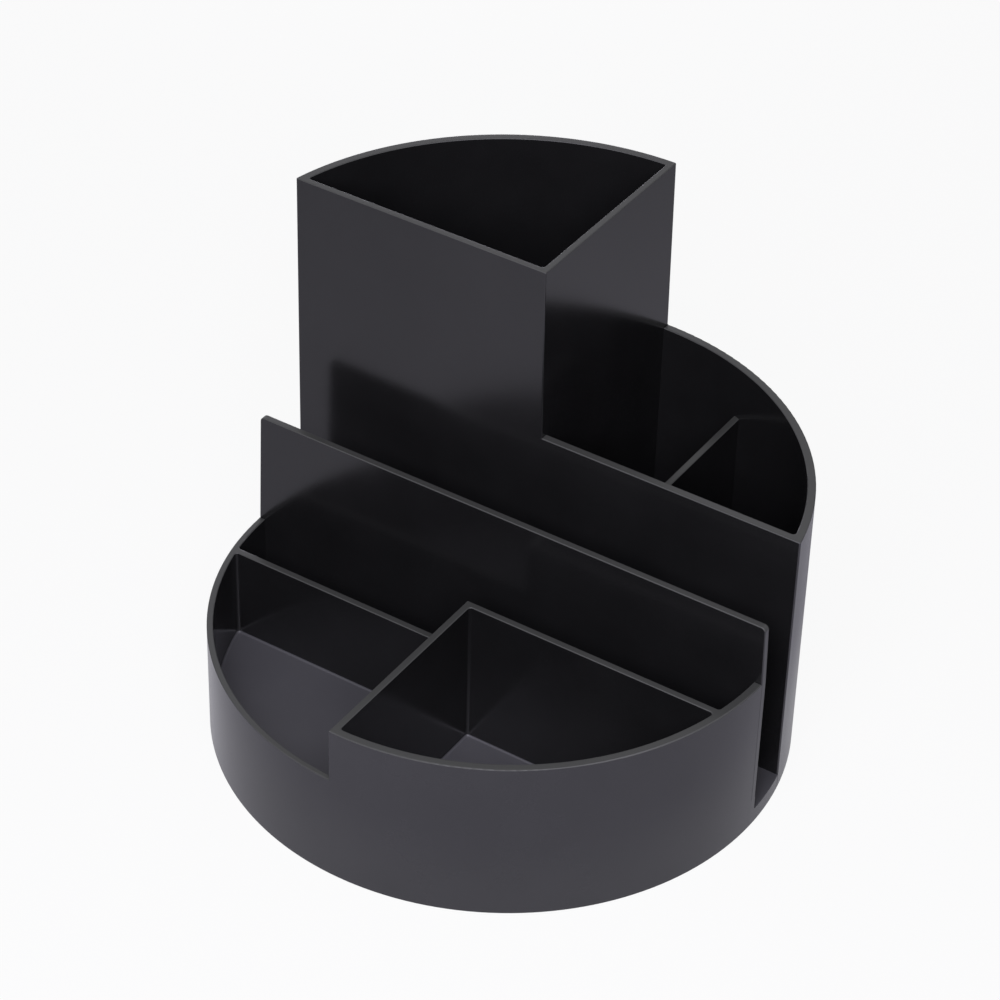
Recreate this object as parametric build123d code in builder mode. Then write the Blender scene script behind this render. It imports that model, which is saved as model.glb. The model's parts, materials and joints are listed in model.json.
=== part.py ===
"""Round stepped desk organiser: pen cup, rear tray, letter rack and two front trays on four pads."""

import os
from math import radians, tan

from build123d import *

os.makedirs("parts", exist_ok=True)

# Overall size: +X is right, +Y is the back, and the pads stand on Z = 0
outer_diameter = 140.0
cup_height = 119.0
rear_tray_height = 73.5
letter_panel_height = 59.5
rear_divider_height = 59.5
right_tray_height = 43.5
left_tray_height = 29.0

# Walls and floor
wall = 2.0
low_wall = 1.5
cup_wall = 1.6
inner_wall = 1.7
letter_panel_thickness = 1.75
rear_divider_thickness = 1.65
floor_thickness = 2.0
skirt_width = 2.0
skirt_depth = 2.0

# Where the straight walls stand
letter_panel_y = -1.1
letter_slot_width = 13.4
channel_width = 12.8
cup_side_x = 0.4
tray_side_x = -0.8
rear_divider_x = 24.3

# Draft and roundings
cup_side_draft = 0.7
panel_end_draft = 1.6
corner_radius = 0.8
floor_radius = 0.6
rim_radius = 0.25
edge_radius = 0.35
panel_corner_radius = 1.2

# Anti-slip pads
pad_diameter = 12.0
pad_projection = 0.4
pad_inset = 16.0
pad_edge_radius = 0.3
pad_count = 4
first_pad_angle = 45.0

# Worked out from the sizes above
outer_radius = outer_diameter / 2
skirt_bottom = pad_projection
recess_top = skirt_bottom + skirt_depth
floor_top = recess_top + floor_thickness
panel_front = letter_panel_y - letter_panel_thickness / 2
panel_back = letter_panel_y + letter_panel_thickness / 2
rear_front = panel_back + letter_slot_width
tray_back = panel_front - channel_width
tray_front = tray_back - inner_wall
cup_side_lean = (cup_height - rear_tray_height) * tan(radians(cup_side_draft))
overrun = 2 * wall

# Which way a quarter reaches from its corner
back_left = (Align.MAX, Align.MIN)
back_right = (Align.MIN, Align.MIN)
front_left = (Align.MAX, Align.MAX)
front_right = (Align.MIN, Align.MAX)


# Plan of a quarter: what the round outline keeps on one side of a corner
def quarter(height, corner, reach, inset=0):
    with BuildSketch(Plane.XY.offset(height)) as plan:
        Circle(outer_radius - inset)
        with Locations(corner):
            Rectangle(outer_diameter, outer_diameter, align=reach, mode=Mode.INTERSECT)
    return plan.sketch


# Plan of a strip: what the round outline keeps between two lines from side to side
def strip(height, front, back, inset=0):
    with BuildSketch(Plane.XY.offset(height)) as plan:
        Circle(outer_radius - inset)
        with Locations((0, front)):
            Rectangle(outer_diameter, back - front, align=(Align.CENTER, Align.MIN), mode=Mode.INTERSECT)
    return plan.sketch


# Hollow of a compartment: from its rim down to the floor, with rounded corners and floor edge
def pocket(plan, rim):
    with BuildPart() as hollow:
        extrude(plan, amount=floor_top - rim)
        fillet(hollow.edges().group_by(Axis.Z)[1], corner_radius)
        fillet(hollow.faces().sort_by(Axis.Z)[0].edges(), floor_radius)
    return hollow.part


# Shallow hollow under a floor, inside the skirt that the section stands on
def recess(plan):
    with BuildPart() as hollow:
        extrude(plan, amount=skirt_depth)
        fillet(hollow.edges().group_by(Axis.Z)[1], corner_radius)
    return hollow.part


# Edges round the top of a section, less those that meet a neighbour
def rim_edges(section, seam_x=None, seam_y=None):
    edges = section.faces().sort_by(Axis.Z)[-1].edges()
    if seam_x is not None:
        edges = edges - edges.filter_by_position(Axis.X, seam_x, seam_x)
    if seam_y is not None:
        edges = edges - edges.filter_by_position(Axis.Y, seam_y, seam_y)
    return edges


# Pen cup: the part above the rear tray leans in on its free side
with BuildPart() as cup_top:
    extrude(
        quarter(rear_tray_height, (cup_side_x, rear_front), back_left),
        amount=cup_height - rear_tray_height,
    )
    draft(cup_top.faces().sort_by(Axis.X)[-1], Plane.XY.offset(rear_tray_height), cup_side_draft)
    fillet(cup_top.edges().group_by(Axis.Z)[1], edge_radius)

with BuildPart() as pen_cup:
    extrude(
        quarter(skirt_bottom, (cup_side_x, rear_front), back_left),
        amount=rear_tray_height - skirt_bottom,
    )
    fillet(pen_cup.edges().group_by(Axis.Z)[1].sort_by(Axis.X)[0], edge_radius)
    add(cup_top.part)
    cup_hollow_corner = (cup_side_x - cup_side_lean - cup_wall, rear_front + cup_wall)
    add(pocket(quarter(cup_height, cup_hollow_corner, back_left, wall), cup_height), mode=Mode.SUBTRACT)
    cup_recess_corner = (cup_side_x - skirt_width, rear_front + skirt_width)
    add(recess(quarter(skirt_bottom, cup_recess_corner, back_left, skirt_width)), mode=Mode.SUBTRACT)
    fillet(rim_edges(pen_cup), rim_radius)

# Rear tray: outer wall, front wall and floor, closed on the left by the cup
with BuildPart() as rear_tray:
    extrude(
        quarter(skirt_bottom, (cup_side_x, rear_front), back_right),
        amount=rear_tray_height - skirt_bottom,
    )
    fillet(rear_tray.edges().group_by(Axis.Z)[1].sort_by(Axis.X)[-1], edge_radius)
    rear_hollow_corner = (cup_side_x - overrun, rear_front + wall)
    add(
        pocket(quarter(rear_tray_height, rear_hollow_corner, back_right, wall), rear_tray_height),
        mode=Mode.SUBTRACT,
    )
    rear_recess_corner = (cup_side_x + skirt_width, rear_front + skirt_width)
    add(recess(quarter(skirt_bottom, rear_recess_corner, back_right, skirt_width)), mode=Mode.SUBTRACT)
    fillet(rim_edges(rear_tray, seam_x=cup_side_x), rim_radius)

# Rear divider: a thin wall that fills the rear tray from its front wall to its outer wall
with BuildPart() as rear_divider:
    with BuildSketch(Plane.XY.offset(floor_top - floor_thickness / 2)) as divider_plan:
        Circle(outer_radius - wall / 2)
        with Locations((rear_divider_x, rear_front + wall / 2)):
            Rectangle(
                rear_divider_thickness,
                outer_diameter,
                align=(Align.CENTER, Align.MIN),
                mode=Mode.INTERSECT,
            )
    extrude(amount=rear_divider_height - floor_top + floor_thickness / 2)
    add(rear_tray.part, mode=Mode.SUBTRACT)
    fillet(rear_divider.faces().sort_by(Axis.Z)[-1].edges().filter_by(Axis.Y), rim_radius)

# Letter panel: its free ends lean in above the trays
with BuildPart() as letter_panel:
    with BuildSketch(Plane.XY.offset(floor_top)):
        with Locations((0, letter_panel_y)):
            Rectangle(outer_diameter, letter_panel_thickness)
    extrude(amount=letter_panel_height - floor_top)
    draft(letter_panel.faces().sort_by(Axis.X)[0], Plane.XY.offset(left_tray_height), panel_end_draft)
    draft(letter_panel.faces().sort_by(Axis.X)[-1], Plane.XY.offset(right_tray_height), panel_end_draft)
    fillet(letter_panel.edges().filter_by(Axis.Y).group_by(Axis.Z)[-1], panel_corner_radius)
    extrude(strip(floor_top, panel_front, panel_back), amount=letter_panel_height, mode=Mode.INTERSECT)
    fillet(letter_panel.faces().sort_by(Axis.Z)[-1].edges().filter_by(Axis.X), rim_radius)

# Letter rack: the panel on the floor of the open slot behind it, with a rounded foot
with BuildPart() as letter_rack:
    with BuildSketch(Plane.YZ) as rack_profile:
        with BuildLine():
            Polyline(
                (panel_front, skirt_bottom),
                (rear_front, skirt_bottom),
                (rear_front, floor_top),
                (panel_back, floor_top),
                (panel_back, floor_top + overrun),
                (panel_front, floor_top + overrun),
                close=True,
            )
        make_face()
        fillet(rack_profile.vertices().sort_by_distance((panel_back, floor_top))[0], floor_radius)
    extrude(amount=outer_radius, both=True)
    extrude(strip(0, panel_front, rear_front), amount=letter_panel_height, mode=Mode.INTERSECT)
    add(letter_panel.part)
    add(
        recess(strip(skirt_bottom, panel_front + skirt_width, rear_front - skirt_width, skirt_width)),
        mode=Mode.SUBTRACT,
    )

# Channel in front of the letter panel: a hollow that runs through both front trays
def channel(inset):
    plan = strip(right_tray_height, tray_back, panel_front + overrun, inset)
    return pocket(plan, right_tray_height)


# Left tray: low outer wall and back wall, closed on the right by the right tray's side wall
with BuildPart() as left_tray:
    extrude(
        quarter(skirt_bottom, (tray_side_x, panel_front), front_left),
        amount=left_tray_height - skirt_bottom,
    )
    left_hollow_corner = (tray_side_x + overrun, tray_front)
    add(
        pocket(quarter(left_tray_height, left_hollow_corner, front_left, low_wall), left_tray_height),
        mode=Mode.SUBTRACT,
    )
    add(channel(low_wall), mode=Mode.SUBTRACT)
    left_recess_corner = (tray_side_x - skirt_width, panel_front - skirt_width)
    add(recess(quarter(skirt_bottom, left_recess_corner, front_left, skirt_width)), mode=Mode.SUBTRACT)
    fillet(rim_edges(left_tray, seam_x=tray_side_x, seam_y=panel_front), rim_radius)

# Right tray: higher outer wall, back wall and side wall
with BuildPart() as right_tray:
    extrude(
        quarter(skirt_bottom, (tray_side_x, panel_front), front_right),
        amount=right_tray_height - skirt_bottom,
    )
    right_hollow_corner = (tray_side_x + inner_wall, tray_front)
    add(
        pocket(quarter(right_tray_height, right_hollow_corner, front_right, wall), right_tray_height),
        mode=Mode.SUBTRACT,
    )
    add(channel(wall), mode=Mode.SUBTRACT)
    right_recess_corner = (tray_side_x + skirt_width, panel_front - skirt_width)
    add(recess(quarter(skirt_bottom, right_recess_corner, front_right, skirt_width)), mode=Mode.SUBTRACT)
    fillet(rim_edges(right_tray, seam_y=panel_front), rim_radius)

sections = {
    "pen_cup": pen_cup,
    "rear_tray": rear_tray,
    "rear_divider": rear_divider,
    "letter_rack": letter_rack,
    "left_tray": left_tray,
    "right_tray": right_tray,
}
for name, section in sections.items():
    section.part.label = name
    export_step(section.part, f"parts/{name}.step")

# Anti-slip pads: discs stuck under the four quarters, standing a little below the skirt
pad_places = PolarLocations(outer_radius - pad_inset, pad_count, start_angle=first_pad_angle)
for number, place in enumerate(pad_places, start=1):
    with BuildPart() as foot_pad:
        with BuildSketch(Plane(place)):
            Circle(pad_diameter / 2)
        extrude(amount=recess_top)
        fillet(foot_pad.edges().sort_by(Axis.Z)[0], pad_edge_radius)
    foot_pad.part.label = f"foot_pad_{number}"
    export_step(foot_pad.part, f"parts/foot_pad_{number}.step")
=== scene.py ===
import json
import math

import bmesh
import bpy
from mathutils import Matrix, Vector


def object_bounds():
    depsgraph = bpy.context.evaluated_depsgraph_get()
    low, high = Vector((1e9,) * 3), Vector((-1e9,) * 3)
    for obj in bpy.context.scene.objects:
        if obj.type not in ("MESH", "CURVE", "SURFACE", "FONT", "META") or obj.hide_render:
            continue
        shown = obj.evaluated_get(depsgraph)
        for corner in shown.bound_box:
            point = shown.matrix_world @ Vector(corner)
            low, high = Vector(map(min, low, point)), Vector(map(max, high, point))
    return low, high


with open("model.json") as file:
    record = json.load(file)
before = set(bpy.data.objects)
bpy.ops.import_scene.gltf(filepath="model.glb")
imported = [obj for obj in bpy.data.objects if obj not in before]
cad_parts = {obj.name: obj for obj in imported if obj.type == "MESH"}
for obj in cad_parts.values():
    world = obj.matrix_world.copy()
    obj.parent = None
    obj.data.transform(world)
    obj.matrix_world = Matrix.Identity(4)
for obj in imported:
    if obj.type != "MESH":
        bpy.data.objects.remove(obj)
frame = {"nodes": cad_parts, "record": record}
cadLow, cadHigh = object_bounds()
mm = 0.001  # lengths in the dictionaries are millimetres, the scene is in metres
scene = bpy.context.scene
scene.view_settings.view_transform = "Standard"
print("frame loaded:", ", ".join(sorted(frame["nodes"])))


def linear(hexText):
    # sRGB hex to the linear colour that Blender's sockets take
    channels = [int(hexText[i:i + 2], 16) / 255 for i in (1, 3, 5)]
    return [c / 12.92 if c <= 0.04045 else ((c + 0.055) / 1.055) ** 2.4 for c in channels] + [1.0]


def perMetre(sizeInMm):
    # scale of a noise whose blobs are about this wide
    return 1 / (sizeInMm * mm)


def addNode(tree, kind, values=None, links=None, **settings):
    # one node with its settings, socket values and incoming links
    node = tree.nodes.new(kind)
    for name, value in settings.items():
        setattr(node, name, value)
    for socket, value in (values or {}).items():
        node.inputs[socket].default_value = value
    for socket, source in (links or {}).items():
        tree.links.new(source, node.inputs[socket])
    return node


def newMaterial(name):
    material = bpy.data.materials.new(name)
    material.use_nodes = True
    material.node_tree.nodes.clear()
    return material, material.node_tree


# Camera, matched to the photograph's corners and rims
photoCamera = {
    "placeMm": (326.62, -523.17, 537.01),
    "turn": 32.144,  # degrees to the right of straight from the front
    "down": 37.505,  # degrees below the horizon
    "roll": 1.719,
    "focalPixels": 3383.6,
    "framePixels": 1000,
    "sensorMm": 36.0,
}


def addCamera(spec):
    data = bpy.data.cameras.new("photoCamera")
    data.sensor_width = spec["sensorMm"]
    data.lens = spec["focalPixels"] / spec["framePixels"] * spec["sensorMm"]
    camera = bpy.data.objects.new("photoCamera", data)
    scene.collection.objects.link(camera)
    place = Matrix.Translation(Vector(spec["placeMm"]) * mm)
    turn = Matrix.Rotation(math.radians(spec["turn"]), 4, "Z")
    tilt = Matrix.Rotation(math.radians(90 - spec["down"]), 4, "X")
    roll = Matrix.Rotation(math.radians(spec["roll"]), 4, "Z")
    camera.matrix_world = place @ turn @ tilt @ roll
    scene.camera = camera


addCamera(photoCamera)
print("camera placed")

# Black polystyrene, injection moulded. Walls drawn off polished steel are near black and mirror what
# stands beside them, and the outside is a little glossier and greyer. Spark-eroded faces of the mould
# leave floors and the edges of rims matt and the tops of rims satin, so that they scatter the light.
# Their much lighter colours, on faces that look up, are painted light from above. The flow of the melt
# clouds all of it a little and leaves a faint orange peel.
bodyPlastic = {
    # each zone lies over the ones before it
    "zones": {
        "wall": {"colour": "#1d1d1d", "deepColour": "#181818", "roughness": 0.18},
        "outside": {"colour": "#2b2b2d", "deepColour": "#262628", "roughness": 0.14},
        # floors and rims: their lighter colours are painted light from above, their roughness is the
        # real matt or satin finish
        "floor": {"colour": "#4f4f51", "deepColour": "#4a4a4c", "roughness": 0.45},
        "rimEdge": {"colour": "#424340", "deepColour": "#3e3f3c", "roughness": 0.6},
        "rimTop": {"colour": "#424340", "deepColour": "#3e3f3c", "roughness": 0.3},
    },
    "ior": 1.59,
    "skinMm": 0.4,  # depth from the round outline that counts as the outside
    "floorsBelowMm": 10.0,  # faces that look up are floors below this height and rims above it
    "upFrom": 0.15,  # how far a face looks up, 1 being straight up, where floors and rims start
    "upFull": 0.5,  # and where they are full, so that rounded edges have their roughness and painted light too
    "flatFrom": 0.95,  # the same for the flat top of a rim
    "flatFull": 0.99,
    "cloudMm": 22.0,
    "cloudDetail": 4.0,
    "cloudBreakUp": 0.55,
    "cloudDeep": 0.3,  # value of the cloud noise where a zone has its deep colour
    "cloudFull": 0.7,  # and where it has its full colour
    "cloudGloss": 0.03,  # how far the clouds spread the roughness of the walls
    "bumps": {
        "orangePeel": {"widthMm": 5.0, "detail": 1.0, "strength": 0.04, "depthMm": 0.1},
        # real grain is near 0.05 mm: drawn coarser so that it shows
        "grain": {"widthMm": 0.35, "detail": 2.0, "strength": 0.06, "depthMm": 0.05},
    },
}


def zoneMasks(tree, spec, place):
    # 1 where a zone lies and 0 elsewhere, from the place of a point and how far its face looks up
    across = addNode(
        tree, "ShaderNodeVectorMath", {1: (1.0, 1.0, 0.0)}, {0: place},
        operation="MULTIPLY").outputs["Vector"]
    reach = addNode(tree, "ShaderNodeVectorMath", links={0: across}, operation="LENGTH")
    outside = addNode(
        tree, "ShaderNodeMath", {1: cadHigh[0] - spec["skinMm"] * mm}, {0: reach.outputs["Value"]},
        operation="GREATER_THAN").outputs["Value"]

    normal = addNode(tree, "ShaderNodeNewGeometry").outputs["Normal"]
    facing = addNode(tree, "ShaderNodeSeparateXYZ", links={"Vector": normal}).outputs["Z"]
    # faces that look up take the lighter floor and rim colours: painted light from above
    up = addNode(
        tree, "ShaderNodeMapRange", {"From Min": spec["upFrom"], "From Max": spec["upFull"]},
        {"Value": facing}, interpolation_type="SMOOTHSTEP").outputs["Result"]
    flat = addNode(
        tree, "ShaderNodeMapRange", {"From Min": spec["flatFrom"], "From Max": spec["flatFull"]},
        {"Value": facing}).outputs["Result"]

    height = addNode(tree, "ShaderNodeSeparateXYZ", links={"Vector": place}).outputs["Z"]
    high = addNode(
        tree, "ShaderNodeMath", {1: spec["floorsBelowMm"] * mm}, {0: height},
        operation="GREATER_THAN").outputs["Value"]
    rimEdge = addNode(tree, "ShaderNodeMath", links={0: up, 1: high}, operation="MULTIPLY")
    rimTop = addNode(tree, "ShaderNodeMath", links={0: flat, 1: high}, operation="MULTIPLY")
    return {
        "outside": outside,
        "floor": up,
        "rimEdge": rimEdge.outputs["Value"],
        "rimTop": rimTop.outputs["Value"],
    }


def cloudedZones(tree, spec, place, masks):
    # colour and roughness of the zones, with the flow's clouds in all colours and in the walls' gloss
    cloud = addNode(
        tree, "ShaderNodeTexNoise",
        {"Scale": perMetre(spec["cloudMm"]), "Detail": spec["cloudDetail"],
         "Roughness": spec["cloudBreakUp"]},
        {"Vector": place}).outputs["Fac"]
    wallRoughness = spec["zones"]["wall"]["roughness"]
    roughness = addNode(
        tree, "ShaderNodeMapRange",
        {"From Min": spec["cloudDeep"], "From Max": spec["cloudFull"],
         "To Min": wallRoughness - spec["cloudGloss"] / 2,
         "To Max": wallRoughness + spec["cloudGloss"] / 2},
        {"Value": cloud}).outputs["Result"]
    colour = None
    for name, zone in spec["zones"].items():
        ramp = addNode(tree, "ShaderNodeValToRGB", links={"Fac": cloud})
        deep, full = ramp.color_ramp.elements
        deep.position = spec["cloudDeep"]
        deep.color = linear(zone["deepColour"])
        full.position = spec["cloudFull"]
        full.color = linear(zone["colour"])
        shade = ramp.outputs["Color"]
        if name not in masks:  # the walls, under all the other zones
            colour = shade
            continue
        colour = addNode(
            tree, "ShaderNodeMix", links={"Factor": masks[name], 6: colour, 7: shade},
            data_type="RGBA").outputs[2]  # sockets 6, 7 and 2 are the colours A, B and Result
        roughness = addNode(
            tree, "ShaderNodeMix", {"B": zone["roughness"]}, {"Factor": masks[name], "A": roughness},
            data_type="FLOAT").outputs["Result"]
    return colour, roughness


def bumpedNormal(tree, bumps, place):
    # bumps laid one over the other, each a noise as wide and as deep as its dictionary says
    normal = None
    for bump in bumps.values():
        noise = addNode(
            tree, "ShaderNodeTexNoise", {"Scale": perMetre(bump["widthMm"]), "Detail": bump["detail"]},
            {"Vector": place})
        links = {"Height": noise.outputs["Fac"]}
        if normal is not None:
            links["Normal"] = normal
        normal = addNode(
            tree, "ShaderNodeBump", {"Strength": bump["strength"], "Distance": bump["depthMm"] * mm},
            links).outputs["Normal"]
    return normal


def polystyreneMaterial(spec):
    material, tree = newMaterial("blackMouldedPolystyrene")
    place = addNode(tree, "ShaderNodeTexCoord").outputs["Object"]
    colour, roughness = cloudedZones(tree, spec, place, zoneMasks(tree, spec, place))
    normal = bumpedNormal(tree, spec["bumps"], place)
    skin = addNode(
        tree, "ShaderNodeBsdfPrincipled", {"IOR": spec["ior"]},
        {"Base Color": colour, "Roughness": roughness, "Normal": normal})
    addNode(tree, "ShaderNodeOutputMaterial", links={"Surface": skin.outputs["BSDF"]})
    return material


# Moulded rubber of the stick-on pads: matt black with a fine even grain, whose high spots hold dust
padRubber = {
    "colour": "#1d1d1d",
    "dustyColour": "#2a2929",
    "ior": 1.52,
    "roughness": 0.8,
    "grainMm": 0.4,
    "grainDetail": 3.0,
    "grainStrength": 0.3,
    "grainDepthMm": 0.1,
}


def rubberMaterial(spec):
    material, tree = newMaterial("mattMouldedRubber")
    place = addNode(tree, "ShaderNodeTexCoord").outputs["Object"]
    grain = addNode(
        tree, "ShaderNodeTexNoise", {"Scale": perMetre(spec["grainMm"]), "Detail": spec["grainDetail"]},
        {"Vector": place}).outputs["Fac"]
    colour = addNode(tree, "ShaderNodeValToRGB", links={"Fac": grain})
    clean, dusty = colour.color_ramp.elements
    clean.color = linear(spec["colour"])
    dusty.color = linear(spec["dustyColour"])
    bump = addNode(
        tree, "ShaderNodeBump",
        {"Strength": spec["grainStrength"], "Distance": spec["grainDepthMm"] * mm}, {"Height": grain})
    skin = addNode(
        tree, "ShaderNodeBsdfPrincipled", {"IOR": spec["ior"], "Roughness": spec["roughness"]},
        {"Base Color": colour.outputs["Color"], "Normal": bump.outputs["Normal"]})
    addNode(tree, "ShaderNodeOutputMaterial", links={"Surface": skin.outputs["BSDF"]})
    return material


finishes = {"body_plastic": polystyreneMaterial(bodyPlastic), "pad_rubber": rubberMaterial(padRubber)}
for part in frame["record"]["subparts"]:
    node = frame["nodes"][part["node"]]
    node.data.materials.clear()
    node.data.materials.append(finishes[part["material_slot"]])

# White studio: a pale floor that keeps the object's shadow, a weak even sky and two soft boxes
lightColour = "#f2efff"  # of the sky and the boxes, a little cold


def rayKinds(tree):
    # one socket that is 1 for the camera's own rays, and one that is 1 for reflections and glass
    ray = addNode(tree, "ShaderNodeLightPath").outputs
    mirrored = addNode(
        tree, "ShaderNodeMath", links={0: ray["Is Glossy Ray"], 1: ray["Is Transmission Ray"]},
        operation="MAXIMUM")
    return ray["Is Camera Ray"], mirrored.outputs["Value"]


studioFloor = {
    "sizeM": 20.0,
    "colour": "#d2d2d2",
    "seenWhite": 0.93,  # share of plain white in what the camera sees of the floor
    "mirrorWhite": 0.04,  # and in what reflections see of it, which keep more of its shading
    "paintedPoolMirrorWhite": 0.22,  # and close to the holder, where a painted pool of light glows on the floor, seen only in reflections
    "poolFromMm": 75.0,  # distance from the holder's axis where the pool starts to fade
    "poolToMm": 100.0,  # and where it has faded
}


def addFloor(spec):
    shape = bmesh.new()
    bmesh.ops.create_grid(shape, x_segments=1, y_segments=1, size=spec["sizeM"] / 2)
    mesh = bpy.data.meshes.new("studioFloor")
    shape.to_mesh(mesh)
    shape.free()
    floor = bpy.data.objects.new("studioFloor", mesh)
    scene.collection.objects.link(floor)

    material, tree = newMaterial("paleStudioFloor")
    place = addNode(tree, "ShaderNodeTexCoord").outputs["Object"]
    reach = addNode(tree, "ShaderNodeVectorMath", links={0: place}, operation="LENGTH")
    # painted pool of light: more plain white in what reflections see of the floor close to the holder
    paintedPool = addNode(
        tree, "ShaderNodeMapRange",
        {"From Min": spec["poolFromMm"] * mm, "From Max": spec["poolToMm"] * mm,
         "To Min": spec["paintedPoolMirrorWhite"], "To Max": spec["mirrorWhite"]},
        {"Value": reach.outputs["Value"]}, interpolation_type="SMOOTHSTEP")
    seen, mirrored = rayKinds(tree)
    mirrorWhite = addNode(
        tree, "ShaderNodeMath", links={0: mirrored, 1: paintedPool.outputs["Result"]}, operation="MULTIPLY")
    share = addNode(
        tree, "ShaderNodeMath", {1: spec["seenWhite"]}, {0: seen, 2: mirrorWhite.outputs["Value"]},
        operation="MULTIPLY_ADD").outputs["Value"]
    paint = addNode(tree, "ShaderNodeBsdfDiffuse", {"Color": linear(spec["colour"])})
    white = addNode(tree, "ShaderNodeEmission", {"Color": linear("#ffffff"), "Strength": 1.0})
    mixed = addNode(
        tree, "ShaderNodeMixShader",
        links={0: share, 1: paint.outputs["BSDF"], 2: white.outputs["Emission"]})
    addNode(tree, "ShaderNodeOutputMaterial", links={"Surface": mixed.outputs["Shader"]})
    mesh.materials.append(material)


studioSky = {
    "strength": 0.1,
    "mirrorWhite": 0.39,  # share of plain white in what reflections see: the camera sees nothing else
}


def addSky(spec):
    world = bpy.data.worlds.new("studioSky")
    world.use_nodes = True
    tree = world.node_tree
    tree.nodes.clear()
    seen, mirrored = rayKinds(tree)
    share = addNode(
        tree, "ShaderNodeMath", {1: spec["mirrorWhite"]}, {0: mirrored, 2: seen},
        operation="MULTIPLY_ADD").outputs["Value"]
    glow = addNode(
        tree, "ShaderNodeBackground", {"Color": linear(lightColour), "Strength": spec["strength"]})
    white = addNode(tree, "ShaderNodeBackground", {"Color": linear("#ffffff"), "Strength": 1.0})
    mixed = addNode(
        tree, "ShaderNodeMixShader",
        links={0: share, 1: glow.outputs["Background"], 2: white.outputs["Background"]})
    addNode(tree, "ShaderNodeOutputWorld", links={"Surface": mixed.outputs["Shader"]})
    scene.world = world


# Soft boxes, aimed at the middle of the holder: turn is in degrees to the right of straight in front,
# and rise in degrees above the floor
boxAimMm = (0.0, 0.0, 50.0)
softBoxes = {
    # near enough that the floor behind the holder falls off into shade
    "frontBox": {"turn": 26.0, "rise": 45.0, "distanceMm": 500.0, "sizeMm": 300.0, "watts": 2.85},
    # low and weak, so that it lights the back of the holder and little of the floor
    "backBox": {"turn": 215.0, "rise": 8.0, "distanceMm": 600.0, "sizeMm": 200.0, "watts": 0.9},
}


def addSoftBox(name, spec):
    data = bpy.data.lights.new(name, "AREA")
    data.shape = "SQUARE"
    data.size = spec["sizeMm"] * mm
    data.energy = spec["watts"]
    data.color = linear(lightColour)[:3]
    box = bpy.data.objects.new(name, data)
    scene.collection.objects.link(box)
    turn = math.radians(spec["turn"])
    rise = math.radians(spec["rise"])
    toBox = Vector((math.sin(turn) * math.cos(rise), -math.cos(turn) * math.cos(rise), math.sin(rise)))
    box.location = (Vector(boxAimMm) + toBox * spec["distanceMm"]) * mm
    box.rotation_euler = (-toBox).to_track_quat("-Z", "Y").to_euler()
    box.visible_camera = False  # other views look towards it


addFloor(studioFloor)
addSky(studioSky)
for boxName, boxSpec in softBoxes.items():
    addSoftBox(boxName, boxSpec)
print("studio set")
